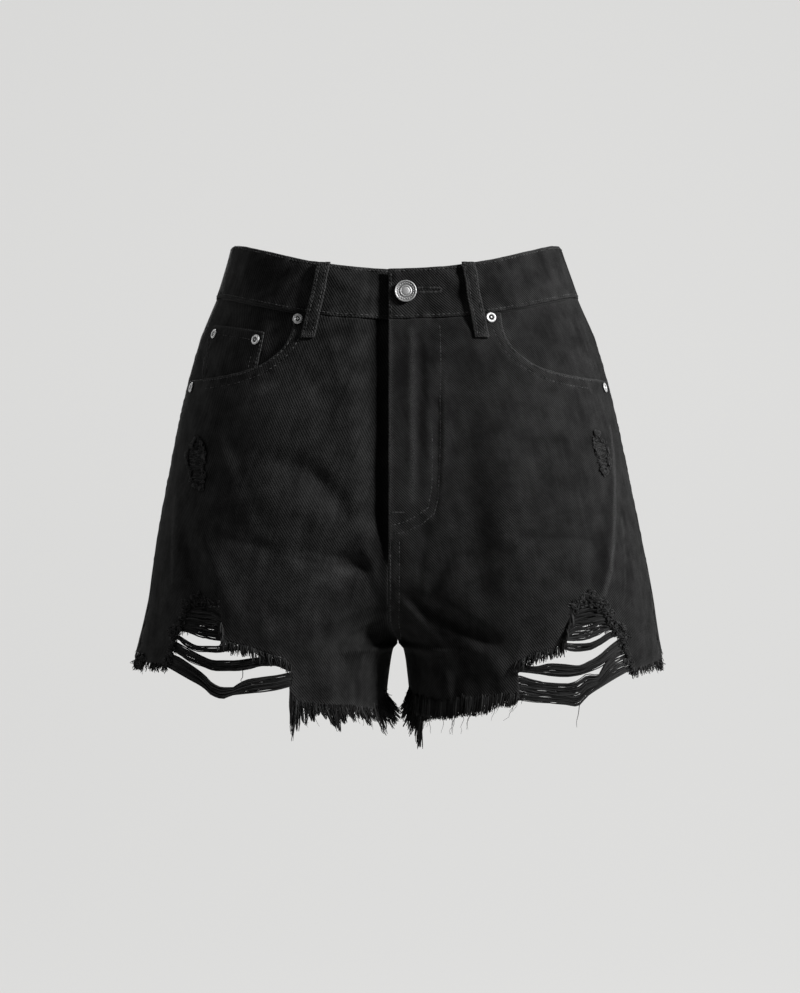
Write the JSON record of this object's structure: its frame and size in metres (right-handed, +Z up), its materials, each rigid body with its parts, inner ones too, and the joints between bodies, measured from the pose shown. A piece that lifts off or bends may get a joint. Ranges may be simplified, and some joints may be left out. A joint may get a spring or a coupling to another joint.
{
  "type": "denim shorts",
  "caption": "High-waisted black denim cut-off shorts with belt loops, hand pockets, coin pocket, waist button, torn fronts and frayed hems.",
  "frame": {"origin": "centre of the waist opening, level with the top edge of the waistband at the sides", "axes": "+Z up; the front faces -Y; +X towards the wearer's left"},
  "size_m": [0.4286, 0.2496, 0.397],
  "materials": {
    "denim": "matt black twill, slightly washed",
    "fray": "loose black cotton threads",
    "steel": "worn satin"
  },
  "bodies": {
    "root": {"waistband": "denim", "front_panel_left": "denim", "back_panel_left": "denim", "yoke_left": "denim", "pocket_facing_left": "denim", "back_pocket_left": "denim", "belt_loop_front_left": "denim", "belt_loop_back_left": "denim", "fringe_back_left": "fray", "front_panel_right": "denim", "back_panel_right": "denim", "yoke_right": "denim", "pocket_facing_right": "denim", "back_pocket_right": "denim", "belt_loop_front_right": "denim", "belt_loop_back_right": "denim", "fringe_back_right": "fray", "belt_loop_centre_back": "denim", "coin_pocket": "denim", "fringe_front_left_inner": "fray", "fringe_front_left_outer": "fray", "fringe_front_right_inner": "fray", "fringe_front_right_outer": "fray", "button": "steel", "rivet_pocket_left_upper": "steel", "rivet_pocket_left_lower": "steel", "rivet_pocket_right_upper": "steel", "rivet_pocket_right_lower": "steel", "rivet_coin_inner": "steel", "rivet_coin_outer": "steel"}
  },
  "joints": []
}
